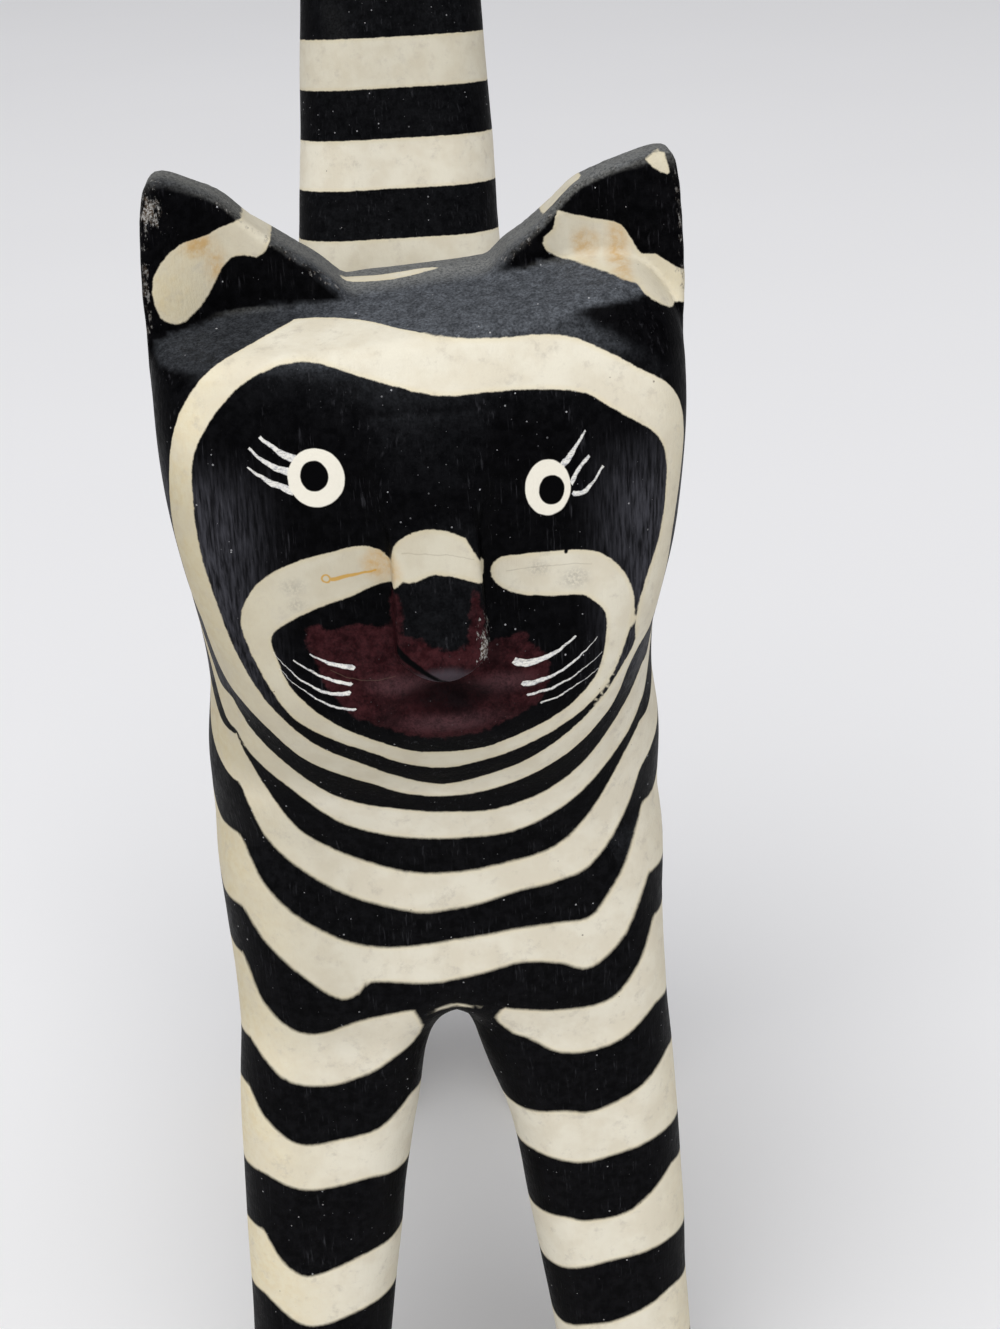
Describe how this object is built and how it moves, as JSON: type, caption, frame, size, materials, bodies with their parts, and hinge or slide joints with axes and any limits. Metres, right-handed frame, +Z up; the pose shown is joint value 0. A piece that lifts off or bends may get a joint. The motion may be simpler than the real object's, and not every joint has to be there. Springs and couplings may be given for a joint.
{
  "type": "cat figurine",
  "caption": "Carved wooden cat standing on four straight legs with its thick tail held up, painted in cream and black rings, with a flat face and a maroon muzzle",
  "frame": {"origin": "on the surface the cat stands on, under the middle of its bounding box", "axes": "+Z up, -Y the way the face looks, +X towards the right of someone facing the cat"},
  "size_m": [0.0622, 0.1462, 0.2289],
  "materials": {
    "painted_wood": "hand-brushed cream and black paint with a soft satin sheen over visible grain"
  },
  "bodies": {
    "root": {"cat_figurine": "painted_wood"}
  },
  "joints": []
}
